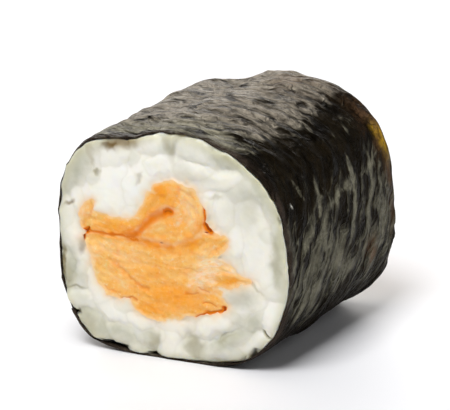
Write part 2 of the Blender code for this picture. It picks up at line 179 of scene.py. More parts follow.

# ---- what marks the salmon's cut: polylines of (x, z), then width, depth and the darkness of the painted shade in the crease ----
CREASES = (
    (((-10.9, 12.4), (-10.7, 13.2), (-10.3, 13.6)), 0.22, 0.4, 1),
    (((-10.2, 13.5), (-8.5, 13.4), (-6.5, 13.4), (-5, 13.3), (-4.3, 13.1)), 0.2, 0.15, 0.65),
    (((-4.3, 13.1), (-3, 13.15), (-1.5, 13.05), (0, 12.9)), 0.6, 0.05, 0.35),
    (((-5.2, 13.4), (-4.4, 13.8), (-3.6, 14.7), (-2.6, 15.8), (-1.5, 16.45), (-0.4, 16.85)), 0.6, 0.08, 0.5),
    (((-5, 13.5), (-4.3, 13.7)), 0.4, 0.15, 0.6),
    (((-0.75, 16.7), (-0.2, 16.95)), 0.35, 0.3, 0.9),
    (((0.1, 17.2), (0.6, 18.4), (0.9, 19.8)), 0.3, 0.12, 0.25),
    (((3.7, 18.7), (4, 17.6), (4.05, 16.4), (4.35, 15.6)), 0.16, 0.3, 0.8),
    (((4.1, 16), (4.3, 15.6), (4.6, 15.35)), 0.35, 0.3, 1),
    (((3.8, 16.2), (3.45, 15.2), (2.7, 14.3), (1.6, 13.75), (0.5, 13.4)), 0.6, 0.05, 0.25),
    (((-7.5, 10.6), (-6.4, 9.8), (-5.2, 9), (-4, 8), (-2.8, 7.7)), 0.25, 0.2, 0.3),
    (((-5.3, 13.5), (-4.4, 13.9)), 0.6, 0.1, 0.55),
    (((1.8, 7.9), (2.6, 8), (3.1, 8.2)), 0.16, 0.2, 0.35),
    (((-6, 6.3), (-5.4, 6.35), (-4.8, 6.6), (-4.3, 6.2)), 0.16, 0.2, 0.45),
    (((3, 5.35), (3.6, 5.75), (4.5, 6.1), (5.7, 6.35), (6.2, 6.5)), 0.2, 0.3, 0.75),
    (((6.2, 6.3), (6.3, 6.9)), 0.2, 0.4, 1),
    (((3.9, 7.1), (4.6, 7.15), (5.3, 7)), 0.12, 0.15, 0.45),
    (((3.3, 8.9), (4, 8.5), (4.5, 8.4)), 0.12, 0.15, 0.4),
    (((-9.75, 16.9), (-9.6, 16.2), (-9.8, 15.4)), 0.2, 0.08, 0.3),
    (((-1, 10.9), (0.4, 10.75), (1.9, 10.9), (3, 10.6)), 0.12, 0.12, 0.25),
    (((-8.2, 7.4), (-7.2, 6.9), (-6.2, 6.9)), 0.14, 0.12, 0.3),
)
CREASE_SHADE_SPREAD = 1.15
CREASE_DEPTH = 0.6
# ---- patches: x, z, the two radii, the direction of the first in degrees, strength ----
FAT_PATCHES = (
    (4.1, 10.3, 2.3, 1.1, 42, 1), (2.4, 8.9, 0.55, 0.4, 30, 0.9), (4.9, 9.5, 0.6, 0.4, 0, 0.7),
    (5, 11.9, 2, 0.75, 8, 1), (7.2, 11.4, 0.9, 0.4, -15, 0.8), (2.1, 17.3, 0.9, 1.9, 8, 0.45),
    (0.8, 16, 0.35, 0.9, 0, 0.5), (-8.3, 11.8, 1.8, 0.7, 0, 0.35), (-5.3, 11, 2.6, 0.7, -5, 0.3),
    (-3.2, 14.35, 0.9, 0.4, 15, 0.45), (-6.3, 8.2, 1.6, 0.4, -25, 0.3),
    (-6.3, 15.75, 2.2, 0.22, 0, 0.9), (-10.6, 15.9, 0.5, 0.9, 10, 0.5),
    (-9.9, 9.5, 0.5, 1.8, 8, 0.5), (3.4, 12.2, 1.5, 0.35, 42, 0.5), (6.6, 14.4, 0.35, 0.6, 0, 0.5),
)
# Deep orange: partly the flesh's own deeper colour, partly painted shade along the join under the fold's
# crown and at its right edge.
DEEP_AND_SHADED_PATCHES = (
    (-1.2, 18.8, 1.4, 1.5, 0, 1), (-2.7, 16.9, 0.8, 1, 30, 0.6), (7.4, 10.1, 1.4, 0.45, 14, 1),
    (6.4, 9.3, 0.5, 0.9, 0, 0.6), (-2.3, 5.6, 2.2, 0.8, 5, 0.7), (-7.2, 14.3, 2.2, 0.6, 0, 0.6),
    (-4.6, 13.8, 1.4, 0.9, 30, 1), (-0.5, 9, 2.6, 1.2, -20, 0.3), (0.8, 12.7, 3.4, 0.5, 5, 0.6),
    (-1.6, 13.2, 2.8, 0.8, -3, 1), (2.6, 13.7, 1.7, 0.9, 35, 1), (3.8, 15.5, 0.6, 1.1, 10, 1),
    (-3, 15.2, 2.2, 0.8, 48, 1), (-0.5, 16.8, 1, 0.6, 20, 1), (-7.4, 13.5, 3, 0.6, 0, 0.9),
    (0.2, 7.4, 3.4, 1.5, 0, 0.9), (3.2, 5.7, 1, 0.35, 25, 0.8),
)

# ---- the rice ----
RICE_STEP = 0.14
RICE_GIRTH = math.pi * SECTION_WIDTH * 0.96
RICE_STATIONS = (-1, -0.985, -0.96, -0.9, -0.7, -0.35, 0.35, 0.7, 0.9, 0.96, 0.985, 1)
RICE_CLEARANCE = 0.05
RICE_STAND_OUT = 0.3
KNIFE_TOP = 0.18
DEEPEST_PIT = 0.8
HOLLOW_DEPTH = 0.4
RIM_DROP = 0.12
GRAIN_SEED = 5
GRAIN_TRIES = 9000
GRAIN_SPACING = 2.2
RIM_BELT = 2.2
SHORT_GRAIN_SHARE = 0.25
CONTOUR_CELL = 0.12
# Grains of the near face: x, z, direction in degrees, half length, half width, top, tone (1 is milky).
HERO_GRAINS = (
    (-11.6, 20.5, 60, 3.4, 1.7, 0.3, 0.2), (-13, 14.3, 90, 2.6, 1.1, 0.1, 0.7),
    (-12.6, 9, 95, 2.2, 1.1, 0, 0.15), (-11, 9, 80, 2.3, 1, 0.1, 0.5),
    (-11.5, 5.7, 10, 2.2, 1.1, 0.2, 0.7), (-9.7, 3, 140, 2.3, 1.2, 0.1, 0),
    (-9, 6.6, 120, 2.5, 1.2, 0.15, 0.8), (-7.4, 4.7, 150, 2.7, 1.1, 0.15, 0.65),
    (-6.2, 2.3, 168, 2.3, 1, 0.1, 0.4), (-4.2, 4, 172, 2.2, 1, 0.1, 0.75),
    (-0.3, 1.8, 80, 1.8, 1.3, 0.15, 0.6), (0.8, 3.9, 10, 2.5, 1, 0.1, 0.7),
    (5.2, 4.9, 32, 3, 1.1, 0.25, 0.7), (7.2, 3.3, 25, 2.8, 1, 0.05, 0.35),
    (4.9, 1.9, 8, 2.4, 0.9, 0.1, 0.2), (8.8, 8.3, 24, 2.6, 1.6, 0.45, 0.8),
    (9.8, 5.8, 45, 2.5, 1.1, 0.1, 0.4), (10.3, 12.8, 105, 4, 1.3, 0.4, 0.7),
    (12.8, 11, 88, 2.6, 0.8, 0, 0.1), (12.1, 6.8, 75, 2.2, 1, 0.25, 0.8),
    (12.7, 15.6, 96, 2.3, 0.9, 0.05, 0.2), (7.9, 14.2, 70, 2.6, 1.3, 0.2, 0.8),
    (6.4, 17.5, 100, 2.5, 1.5, 0.15, 0.6), (9.3, 17.8, 110, 2.4, 1.3, 0.1, 0.5),
    (5.9, 21, 12, 2.9, 1, 0.3, 0.6), (10.9, 19.6, 125, 2.6, 1.2, 0.15, 0.35),
    (9.3, 22.2, 142, 2.3, 0.9, 0.1, 0.2), (6.6, 23.3, 165, 2.3, 0.9, 0.1, 0.1),
    (3, 23.7, 176, 2.6, 1, 0.15, 0.4), (2.2, 21.7, 170, 2.6, 1.1, 0.2, 0.65),
    (-0.5, 24.2, 90, 1.2, 0.8, -0.1, 0.2), (-3, 24, 8, 2.3, 1.1, 0.15, 0.6),
    (-2, 21.8, 10, 2.3, 1.1, 0.25, 0.9), (-6.6, 22.4, 30, 3.2, 1.1, 0.2, 0.65),
    (-7.6, 18.6, 55, 3.2, 1.9, 0.4, 0.9), (-4.6, 19.3, 60, 2.6, 1.5, 0.35, 0.95),
    (-11.3, 16.9, 100, 2.3, 0.9, 0.05, 0.8),
)
# Glassy regions of the near face, where the grains are more translucent: as the patches above.
GLASSY_PATCHES = (
    (-12.2, 20.2, 1.5, 3.6, -28, 0.55), (-12.6, 9, 1.3, 2.6, 0, 1), (8.6, 8.3, 2.2, 1.5, 24, 0.6),
    (-10, 3, 2.6, 1.5, -35, 0.9), (-6, 2, 2.8, 1.3, 0, 0.6), (12.7, 13, 0.8, 3.6, 0, 0.7),
    (11.5, 20, 1.5, 3, 30, 0.6), (7, 3.6, 3.2, 1.2, 25, 0.45), (9.5, 5.6, 1.8, 1.3, 45, 0.6),
    (6.5, 23.4, 3.4, 0.9, -15, 0.6), (8.8, 18.5, 1.8, 2.4, 0, 0.45), (3.2, 21.2, 2.4, 0.9, 0, 0.3),
    (-0.5, 23.8, 0.9, 1.2, 0, 0.5), (2.8, 2.2, 1.6, 1.7, 0, 0.7), (-2.5, 1.7, 1.4, 1.5, -28, 0.6),
    (-13, 13.5, 0.8, 3, 0, 0.3), (-11.2, 7, 1.6, 2, 0, 0.45), (0, 22.6, 3.5, 1, 0, 0.2),
)
# Hollows between the grains: x, z, the two radii, the direction of the first, depth.
HOLLOWS = (
    (-9.1, 20.3, 0.5, 0.28, 8, 0.2), (-3.7, 20.4, 0.85, 0.25, 58, 0.12),
    (-12.5, 16.3, 0.7, 0.25, 12, 0.2), (-7.4, 23.1, 1.2, 0.35, 15, 0.5),
    (-6.2, 23.9, 2.2, 0.5, 10, 0.3), (-11.7, 4.15, 0.55, 0.42, -20, 1.6),
    (-7.1, 0.9, 1.5, 0.32, -14, 1.6), (-2.3, 0.35, 1.2, 0.22, -4, 1),
    (9.8, 2.35, 0.8, 0.25, 38, 0.9), (8.4, 1.7, 0.5, 0.15, 25, 0.5),
    (11.5, 4.6, 0.75, 0.22, -35, 0.7), (12.75, 17.6, 0.5, 0.13, 103, 0.5),
    (-13.2, 9.3, 0.35, 2, 8, 0.5), (-11.8, 6.8, 1.3, 0.18, 3, 0.28),
    (-2.3, 1.7, 0.7, 1.1, -28, 0.3), (2.8, 2.3, 0.8, 1.1, 5, 0.25), (9.9, 9.9, 1.3, 0.3, -40, 0.3),
    (5.2, 19.35, 1.2, 0.2, 8, 0.12), (-10.9, 11.5, 0.5, 0.9, 10, 0.3),
    (12.2, 20.2, 1.6, 0.12, 122, 0.2), (6, 3.7, 1.5, 0.12, 32, 0.3),
)
# Stains and painted shade in them: x, z, the two radii, the direction of the first, olive, brown, black. The
# olive is partly a greyish translucent tint and partly painted shade: shadow lines under grain edges and
# wedges of shade in the hollows.
STAINS_AND_SHADE = (
    (-9.1, 20.35, 0.5, 0.3, 8, 0.6, 0.2, 0), (-3.7, 20.4, 0.85, 0.3, 58, 0.45, 0, 0),
    (-12.5, 16.3, 0.6, 0.25, 12, 0.3, 0.6, 0), (-7.2, 23.2, 1.4, 0.5, 15, 0.2, 1, 0),
    (-6, 23.7, 2.2, 0.7, 10, 0.2, 0.75, 0), (0, 23.6, 0.4, 1, 5, 0.05, 0.2, 0),
    (-9.6, 22.3, 0.35, 1.6, 0, 0.25, 0.1, 0), (-0.6, 24.3, 0.4, 0.8, 0, 0.15, 0.15, 0),
    (2.7, 2.2, 0.9, 1.2, 20, 0.4, 0.05, 0), (-11.7, 4.15, 0.55, 0.42, -20, 0, 0, 1),
    (-7.1, 0.9, 1.5, 0.32, -14, 0, 0, 1), (-2.3, 0.3, 1.2, 0.25, -4, 0.2, 0, 0.9),
    (9.8, 2.3, 0.8, 0.25, 38, 0.3, 0, 0.8), (11.5, 4.6, 0.75, 0.2, -35, 0.8, 0, 0.3),
    (12.75, 17.6, 0.5, 0.13, 103, 0.5, 0, 0.4), (-13.2, 9.3, 0.35, 2.1, 8, 0.6, 0.5, 0),
    (-11.8, 6.85, 1.3, 0.22, 3, 0.6, 0, 0), (-12.4, 8.2, 0.8, 1.2, 0, 0.3, 0, 0),
    (-2.3, 1.6, 0.5, 1.1, -28, 0.3, 0.1, 0), (-10.2, 3.1, 1.4, 1, -35, 0.3, 0, 0),
    (-10.9, 11.6, 0.55, 0.9, 10, 0, 0.55, 0), (9.9, 9.9, 1.3, 0.18, -40, 0.35, 0, 0),
    (5.2, 19.3, 1.2, 0.25, 8, 0.3, 0, 0), (7, 23.2, 1, 0.6, 0, 0.3, 0, 0),
    (6.4, 3.5, 1.2, 0.25, 32, 0.35, 0, 0), (7.8, 8.4, 1.6, 1.2, 20, 0.1, 0.12, 0),
    (-12.5, 20, 1.2, 3.2, -28, 0.08, 0, 0), (12.3, 13, 0.5, 2.5, 4, 0.3, 0, 0),
)



# ---- noise ----
def smooth_step(value, low, high):
    share = np.clip((value - low) / (high - low), 0, 1)
    return share * share * (3 - 2 * share)


def noise(u, v, seed, period=256):
    """Smooth noise from -1 to 1 over a plane, with a random value at each whole number. It repeats in u."""
    rows = 256
    table = np.random.default_rng(seed).uniform(-1, 1, (period, rows))
    u0, v0 = np.floor(u).astype(int), np.floor(v).astype(int)
    fu, fv = smooth_step(u - u0, 0, 1), smooth_step(v - v0, 0, 1)
    low, high = (
        table[u0 % period, row % rows] * (1 - fu) + table[(u0 + 1) % period, row % rows] * fu
        for row in (v0, v0 + 1)
    )
    return low * (1 - fv) + high * fv


def point_noise(points, cell, seed, right=0, up=0):
    """Smooth noise over a plane in cells of this many millimetres, moved by some cells."""
    return noise(points[:, 0] / cell + right, points[:, 1] / cell + up, seed)


def stray(points, size, cell, seed):
    """The points moved a little by smooth noise, so that what is laid on them gets an uneven outline."""
    moves = [point_noise(points, cell, seed, 0, 9), point_noise(points, cell, seed + 1, 31, 9)]
    return points + size * np.stack(moves, axis=1)


def blobs(points, rows, column=5):
    """How strongly each point lies in any of some soft-edged, uneven ellipses."""
    points = stray(stray(points, 0.3, 0.9, 61), 0.14, 0.35, 63)
    strength = np.zeros(len(points))
    for row in rows:
        x, z, radius, other, degrees = row[:5]
        direction = math.radians(degrees)
        across, up = points[:, 0] - x, points[:, 1] - z
        u = (across * math.cos(direction) + up * math.sin(direction)) / radius
        v = (up * math.cos(direction) - across * math.sin(direction)) / other
        strength = np.maximum(strength, row[column] * np.exp(-((u * u + v * v) ** 1.5)))
    return strength


def line_distance(points, line):
    """Each point's distance to a line through some points."""
    away, line = np.full(len(points), np.inf), np.array(line, float)
    for start, end in zip(line, line[1:]):
        ahead = end - start
        share = np.clip((points - start) @ ahead / (ahead @ ahead), 0, 1)
        away = np.minimum(away, np.linalg.norm(points - start - share[:, None] * ahead, axis=1))
    return away


def creases(points):
    """Depth of the creases at each point, and the darkness of the shade painted in them."""
    points = stray(points, 0.16, 0.6, 65)
    depth, crease_shade = np.zeros(len(points)), np.zeros(len(points))
    for line, width, deep, shade in CREASES:
        away = line_distance(points, line)
        depth = np.maximum(depth, deep * np.exp(-((away / width) ** 2)))
        crease_shade = np.maximum(crease_shade, shade * np.exp(-((away / (width * CREASE_SHADE_SPREAD)) ** 2)))
    return depth, crease_shade


# ---- the section ----
def turn_from(degrees, at):
    """How many degrees round each angle lies from this one, from -180 to 180."""
    return (degrees - at + 180) % 360 - 180


def hump(degrees, at, spread):
    """1 at this angle, falling to 0 round it."""
    return np.exp(-((turn_from(degrees, at) / spread) ** 2))


def floor_outline(degrees):
    """Points (x, z) of the wrapped section's outside, at these angles from +X about its middle."""
    angle = np.radians(degrees)
    across, up = np.cos(angle), np.sin(angle)
    across_share = np.abs(across) / (SECTION_WIDTH / 2)
    up_share = np.abs(up) / (SECTION_HEIGHT / 2)
    radius = (across_share**SQUARENESS + up_share**SQUARENESS) ** (-1 / SQUARENESS)
    for at, depth, spread in HAND_MARKS:
        radius = radius - depth * hump(degrees, at, spread)
    x = radius * across
    z = SECTION_HEIGHT / 2 - FLOOR_PRESS + radius * up
    return np.stack([x, np.maximum(z, 0)], axis=-1)


def section(degrees, inset):
    """The outline moved inwards by inset, one value or one for each angle."""
    step = 0.5
    along = floor_outline(degrees + step) - floor_outline(degrees - step)
    along /= np.linalg.norm(along, axis=-1, keepdims=True)
    inwards = np.stack([-along[:, 1], along[:, 0]], axis=-1)
    return floor_outline(degrees) + inwards * np.reshape(inset, (-1, 1)) * np.ones((len(inwards), 1))


def overlap_share(degrees):
    """1 where the sheet lies double, falling to 0 over a few degrees on each side."""
    soft_edge = 8
    middle = (FLAP_EDGE + TUCKED_EDGE) / 2
    half = (TUCKED_EDGE - FLAP_EDGE) / 2
    return np.clip((half + soft_edge - np.abs(turn_from(degrees, middle))) / soft_edge, 0, 1)


def rice_inset(degrees):
    """From the outline to the rice: the sheet, doubled at the overlap, and the clearance."""
    behind_flap = (FLAP_EDGE - degrees) % 360
    spiral = (NORI_THICKNESS + LAYER_GAP) * np.clip(1 - behind_flap / SPIRAL_RUN, 0, 1)
    doubled = (NORI_THICKNESS + LAYER_GAP) * overlap_share(degrees)
    return NORI_THICKNESS + np.maximum(spiral, doubled) + edge_fold(degrees) + RICE_CLEARANCE


def edge_fold(degrees):
    at, spread, depth = EDGE_FOLD
    return depth * hump(degrees, at, spread)


def share_round(points):
    """Each point's angle about the middle, in turns from -0.5 to 0.5."""
    return np.arctan2(points[:, 1] - MIDDLE[1], points[:, 0]) / (2 * math.pi)


def ripple(points, y):
    """The solids' own slow waves of the wrapped surface."""
    turn = 2 * math.pi * share_round(points)
    waves = np.sin(5 * turn + 0.33 * y)
    waves += 0.7 * np.sin(8 * turn - 0.55 * y + 1.3)
    waves += 0.5 * np.sin(3 * turn + 0.8 * y)
    return RIPPLE * waves / 2.2 * np.clip(points[:, 1] / RIPPLE_CLEAR_OF_FLOOR, 0, 1)


def lean(degrees):
    """How far along the sheet's streaks have drifted at these degrees round."""
    at, drift = np.array(STREAK_LEAN, float).T
    return np.interp(degrees, at, drift, period=360)


def crests(points, y):
    """The sheet's welts, which mostly run round the roll: about 1 along a welt, 0 in a hollow."""
    turn = share_round(points)
    sway = 0.9 * noise(10 * turn, y / 5.0, 21, 10) + 0.3 * noise(27 * turn, y / 2.0, 27, 27)
    slanted = y + sway - lean(360 * turn)
    welts = noise(17 * turn, slanted / 1.25, 22, 17) + 0.55 * noise(37 * turn, slanted / 0.62, 23, 37)
    return smooth_step(welts, -0.1, 0.85)


def wrinkles(points, y):
    """How far the sheet's fine relief stands out, welts above hollows, less where it lies on the floor."""
    turn = share_round(points)
    dents = noise(14 * turn, y / 2.8, 24, 14) + 0.5 * noise(30 * turn, y / 1.5, 25, 30)
    pits = noise(110 * turn, y / 0.6, 33, 110)
    height = 0.2 * crests(points, y) + 0.09 * dents + 0.035 * pits + RELIEF_RISE
    for degrees, along, round_radius, along_radius, rise in SHEET_SWELLS:
        away = turn_from(360 * turn, degrees) * MM_PER_DEGREE / round_radius
        height = height + rise * np.exp(-(away**2) - ((y - along) / along_radius) ** 2)
    to_cut = np.clip(HALF_LENGTH - np.abs(y), 0, 9)
    crinkle = 0.12 * noise(44 * turn, y / 3, 26, 44) * np.exp(-to_cut / 0.8)
    curl = -0.1 * np.exp(-to_cut / 0.5)
    return (height + crinkle + curl) * np.clip(points[:, 1] / 1.5, 0, 1)


def outwards(points):
    """The direction from the middle to each point."""
    away = points - MIDDLE
    return away / np.linalg.norm(away, axis=1, keepdims=True)


def to_metres(points, y, wrapped=1):
    """Section points at one y, or one each, as Blender coordinates.

    They take this share of the sheet's relief.
    """
    y = np.broadcast_to(y, len(points))
    swell = 1 + BACK_SWELL * (y / ROLL_LENGTH + 0.5)
    if np.any(wrapped):
        on_roll = np.clip(y, -HALF_LENGTH, HALF_LENGTH)
        relief = (ripple(points, on_roll) + wrinkles(points, on_roll)) * wrapped
        points = points + outwards(points) * relief[:, None]
    x, z = (points * swell[:, None]).T
    return np.stack([x, y, z], axis=1) * MM


def filling_at(points, y):
    """Section points of the filling carried to station y, where it has turned and drifted a little."""
    share = np.broadcast_to(y, len(points)) / ROLL_LENGTH + 0.5
    turn = np.radians(FILLING_TWIST) * share
    x, z = (points - MIDDLE).T
    turned = np.stack([x * np.cos(turn) - z * np.sin(turn), x * np.sin(turn) + z * np.cos(turn)], axis=1)
    drift = FILLING_DRIFT * np.stack([np.sin(z / 4) * share, np.sin(x / 5) * share], axis=1)
    return turned + drift + MIDDLE


# ---- the salmon's outline, as distances from its strips ----
def smooth_row(stations, between=16):
    """The stations of a strip joined by a smooth curve, with this many points between two of them."""
    rows = np.array(stations, float)
    rows = np.vstack([2 * rows[0] - rows[1], rows, 2 * rows[-1] - rows[-2]])
    t = np.linspace(0, 1, between, endpoint=False)[:, None]
    curve = [
        0.5 * (2 * b + (c - a) * t + (2 * a - 5 * b + 4 * c - d) * t**2 + (3 * b - a - 3 * c + d) * t**3)
        for a, b, c, d in zip(rows, rows[1:], rows[2:], rows[3:])
    ]
    return np.vstack([*curve, rows[-2]])


STRIPS = {
    "salmon_fold": [smooth_row(strip) for strip in (FOLDED_SLICE, *FOLD_FILLS)],
    "salmon_slab": [smooth_row(strip) for strip in (UPPER_LAYER, LOWER_LAYER, SIDE_FLAP, *SLAB_FILLS)],
}


def in_chunks(function):
    """Runs a function of many points a few thousand at a time, to bound its memory."""

    def chunked(points, *rest, **named):
        parts = [function(points[i : i + 4000], *rest, **named) for i in range(0, len(points), 4000)]
        if isinstance(parts[0], tuple):
            return tuple(np.concatenate(column) for column in zip(*parts))
        return np.concatenate(parts)

    return chunked


@in_chunks
def strip_distance(points, row):
    """Each point's distance to a strip's side, negative inside, and the index of the nearest station."""
    away = np.linalg.norm(points[:, None, :] - row[None, :, :2], axis=2) - row[:, 2]
    nearest = away.argmin(axis=1)
    return away.min(axis=1), nearest


def ragged_distance(points, rows):
    """Distance to the uneven side of some strips, negative inside."""
    away = np.min([strip_distance(points, row)[0] for row in rows], axis=0)
    return away + RAGGED * (point_noise(points, 0.9, 45, up=5) + 0.7 * point_noise(points, 0.42, 46, up=5))


def piece_distance(points, name):
    """Distance to the side of a piece of salmon. The slab gives way to the fold that lies on it."""
    away = ragged_distance(points, STRIPS[name])
    if name == "salmon_slab":
        away = np.maximum(away, -ragged_distance(points, STRIPS["salmon_fold"]))
    return away


def filling_distance(points):
    """Distance to where the salmon meets the rice, negative in the salmon."""
    return ragged_distance(points, STRIPS["salmon_fold"] + STRIPS["salmon_slab"])


def contour(distance, step):
    """The outer outline where a distance is 0, as points a step apart, counterclockwise."""
    cells = round(SECTION_WIDTH / CONTOUR_CELL)
    grid = bmesh.new()
    bmesh.ops.create_grid(grid, x_segments=cells, y_segments=cells, size=SECTION_WIDTH / 2)
    flat = np.array([v.co.xy for v in grid.verts]) + MIDDLE
    for vertex, (x, z), height in zip(grid.verts, flat, distance(flat)):
        vertex.co = (x, z, height)
    bmesh.ops.triangulate(grid, faces=grid.faces[:])
    everything = grid.verts[:] + grid.edges[:] + grid.faces[:]
    bmesh.ops.bisect_plane(grid, geom=everything, plane_co=(0, 0, 0), plane_no=(0, 0, 1), clear_outer=True)
    loops = boundary_loops(grid)
    grid.free()
    return evenly_spaced(max(loops, key=lambda loop: abs(area_of(loop))), step)


def boundary_loops(mesh):
    """The closed loops of a flat mesh's open edges, each an array of (x, z)."""
    following = {}
    for edge in mesh.edges:
        if edge.is_boundary:
            loop = edge.link_loops[0]
            following[loop.vert] = loop.link_loop_next.vert
    loops = []
    while following:
        start, vertex = following.popitem()
        found = [start]
        while vertex is not start:
            found.append(vertex)
            vertex = following.pop(vertex)
        loops.append(np.array([v.co.xy for v in found]))
    return loops


def area_of(loop):
    x, z = loop.T
    return 0.5 * np.sum(x * np.roll(z, -1) - z * np.roll(x, -1))


def run_along(line):
    """How far along a line each of its points lies."""
    return np.concatenate([[0], np.cumsum(np.linalg.norm(np.diff(line, axis=0), axis=1))])


def evenly_spaced(loop, step):
    if area_of(loop) < 0:
        loop = loop[::-1]
    closed = np.vstack([loop, loop[:1]])
    run = run_along(closed)
    at = np.linspace(0, run[-1], round(run[-1] / step), endpoint=False)
    return np.stack([np.interp(at, run, closed[:, 0]), np.interp(at, run, closed[:, 1])], axis=1)


# ---- meshes ----
def in_scene(name, data):
    thing = bpy.data.objects.new(name, data)
    bpy.context.scene.collection.objects.link(thing)
    return thing


def new_piece(name, vertices, faces, node, attributes):
    """A closed mesh in place of a node of the CAD, with its shading values at each vertex."""
    mesh = bpy.data.meshes.new(name)
    mesh.from_pydata(vertices.tolist(), [], faces)
    for key, values in attributes.items():
        mesh.attributes.new(key, "FLOAT", "POINT").data.foreach_set("value", values.astype(np.float32))
    piece = in_scene(name, mesh)
    tidy = bmesh.new()
    tidy.from_mesh(mesh)
    bmesh.ops.recalc_face_normals(tidy, faces=tidy.faces[:])
    tidy.to_mesh(mesh)
    tidy.free()
    mesh.shade_smooth()
    mesh.set_sharp_from_angle(angle=math.radians(55))
    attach(piece, "root")
    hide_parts(node)
    return piece


def side_faces(rings, around, first=0):
    """Quads between rings of this many points each, numbered ring after ring."""
    here = first + np.arange((rings - 1) * around).reshape(-1, around)
    following = np.roll(here, -1, axis=1)
    return np.stack([here, following, following + around, here + around], axis=2).reshape(-1, 4).tolist()


@in_chunks
def within(points, loop):
    """Whether each point lies in a closed loop, by how often a ray towards +X crosses it."""
    x, z = points[:, :1], points[:, 1:]
    from_x, from_z = loop.T
    to_x, to_z = np.roll(loop, -1, axis=0).T
    crossed = (from_z > z) != (to_z > z)
    rise = np.where(to_z == from_z, 1, to_z - from_z)
    at = from_x + (z - from_z) / rise * (to_x - from_x)
    return (crossed & (x < at)).sum(axis=1) % 2 == 1


def filled(loops, inside):
    """Triangles that fill what lies in the first loop and outside the second, numbered loops first."""
    flat = np.vstack([*loops, inside])
    edges, start = [], 0
    for loop in loops:
        edges += [(start + i, start + (i + 1) % len(loop)) for i in range(len(loop))]
        start += len(loop)
    result = geometry.delaunay_2d_cdt([Vector(p) for p in flat], edges, [], 0, 1e-6)
    back = np.array([source[0] for source in result[3]])
    triangles = back[np.array(result[2])]
    middles = flat[triangles].mean(axis=1)
    kept = within(middles, loops[0])
    for hole in loops[1:]:
        kept &= ~within(middles, hole)
    return triangles[kept]


def lattice_inside(distance, step):
    """A triangular lattice of points at least half a step inside where the distance is 0."""
    across = np.arange(-SECTION_WIDTH / 2, SECTION_WIDTH / 2, step)
    rows = np.arange(0, SECTION_HEIGHT, step * math.sqrt(3) / 2)
    x = across[None, :] + (np.arange(len(rows)) % 2)[:, None] * step / 2
    z = np.broadcast_to(rows[:, None], x.shape)
    lattice = np.stack([x.ravel(), z.ravel()], axis=1)
    return lattice[distance(lattice) < -step / 2]


# ---- the nori ----
def build_nori():
    """One sheet wound once round and on under itself, from its tucked edge to its flap."""
    start, end = TUCKED_EDGE, FLAP_EDGE - 360
    steps = round((start - end) / 360 * math.pi * SECTION_WIDTH / NORI_STEP_ROUND)
    degrees = np.linspace(start, end, steps)
    under = NORI_THICKNESS + LAYER_GAP
    rise = np.clip((degrees - (FLAP_EDGE - SPIRAL_RUN)) / SPIRAL_RUN, 0, 1)
    depth = np.where(degrees > FLAP_EDGE, under, under * rise)
    outside, inside = section(degrees, depth), section(degrees, depth + NORI_THICKNESS)
    folded = section(degrees, depth + NORI_THICKNESS + edge_fold(degrees))
    wander = cut_wander(degrees)
    stations = round(ROLL_LENGTH / NORI_STEP_ALONG)
    rings = []
    for share in np.linspace(-1, 1, stations + 1):
        near_cut = smooth_step(abs(share), 0.9, 1)
        loop = np.vstack([outside, (inside + (folded - inside) * near_cut)[::-1]])
        y = share * (HALF_LENGTH + np.concatenate([wander, wander[::-1]]) * near_cut)
        rings.append(to_metres(loop, y))
    around = len(loop)
    faces = side_faces(len(rings), around)
    for base in (0, stations * around):
        for i in range(steps - 1):
            faces.append((base + i, base + i + 1, base + around - 2 - i, base + around - 1 - i))
    vertices = np.vstack(rings)
    turn, along = np.tile(np.concatenate([degrees, degrees[::-1]]), len(rings)), vertices[:, 1] / MM
    attributes = {
        "round": turn * MM_PER_DEGREE,
        "along": along,
        "slanted": along - lean(turn),
        "cover_and_painted_light": pale_cover_and_painted_light(turn, along),
    }
    for key, spots in SHEET_SPOTS.items():
        attributes[key] = sheet_spots(turn, along, spots)
    return new_piece("nori_sheet", vertices, faces, "nori", attributes)


def pale_cover_and_painted_light(turn, along):
    """The share of the sheet that is pale at each place, with painted sheen on the top and painted shade on
    the shoulder and near the floor.
    """
    at, share = np.array(PALE_COVER_AND_PAINTED_LIGHT, float).T
    strayed = turn + 7 * noise(turn / 16, along / 3.2, 34) + 4 * noise(turn / 6, along / 1.4, 35)
    cover_and_painted_light = np.interp(strayed, at, share) + 0.12 * noise(turn / 20, along / 4.5, 36)
    flat = stray(np.stack([turn * MM_PER_DEGREE, along], axis=1), 0.35, 1.2, 71)
    for line, half_width, change in STREAKS:
        away = line_distance(flat, [(degrees * MM_PER_DEGREE, at) for degrees, at in line])
        cover_and_painted_light += change * np.exp(-((away / half_width) ** 2))
    return cover_and_painted_light


def sheet_spots(turn, along, spots):
    """How strongly each place of the sheet lies in any of some soft spots."""
    strength = np.zeros(len(turn))
    for degrees, at, round_radius, along_radius, most in spots:
        away = turn_from(turn, degrees) * MM_PER_DEGREE
        reach = (away / round_radius) ** 2 + ((along - at) / along_radius) ** 2
        strength = np.maximum(strength, most * np.exp(-reach))
    return strength


def cut_wander(degrees):
    """How far the sheet's cut edge strays outwards from a straight cut."""
    share = degrees / 360
    slow = 0.09 * noise(9 * share, np.full(len(share), 3.5), 31, 9)
    torn = 0.07 * noise(70 * share, np.full(len(share), 8.5), 32, 70)
    return slow + torn


# ---- the salmon ----
def strip_pattern(points, name):
    """Millimetres along its nearest strip and across it from the middle line, for each point."""
    strips_apart = 40
    best = np.full(len(points), np.inf)
    along, across = np.zeros(len(points)), np.zeros(len(points))
    for number, row in enumerate(STRIPS[name]):
        run = run_along(row[:, :2])
        ahead = np.gradient(row[:, :2], axis=0)
        ahead /= np.linalg.norm(ahead, axis=1, keepdims=True)
        away, nearest = strip_distance(points, row)
        offset = points - row[nearest, :2]
        side = ahead[nearest, 0] * offset[:, 1] - ahead[nearest, 1] * offset[:, 0]
        closer = away < best
        best = np.where(closer, away, best)
        along = np.where(closer, run[nearest] + strips_apart * number, along)
        across = np.where(closer, side, across)
    return along, across


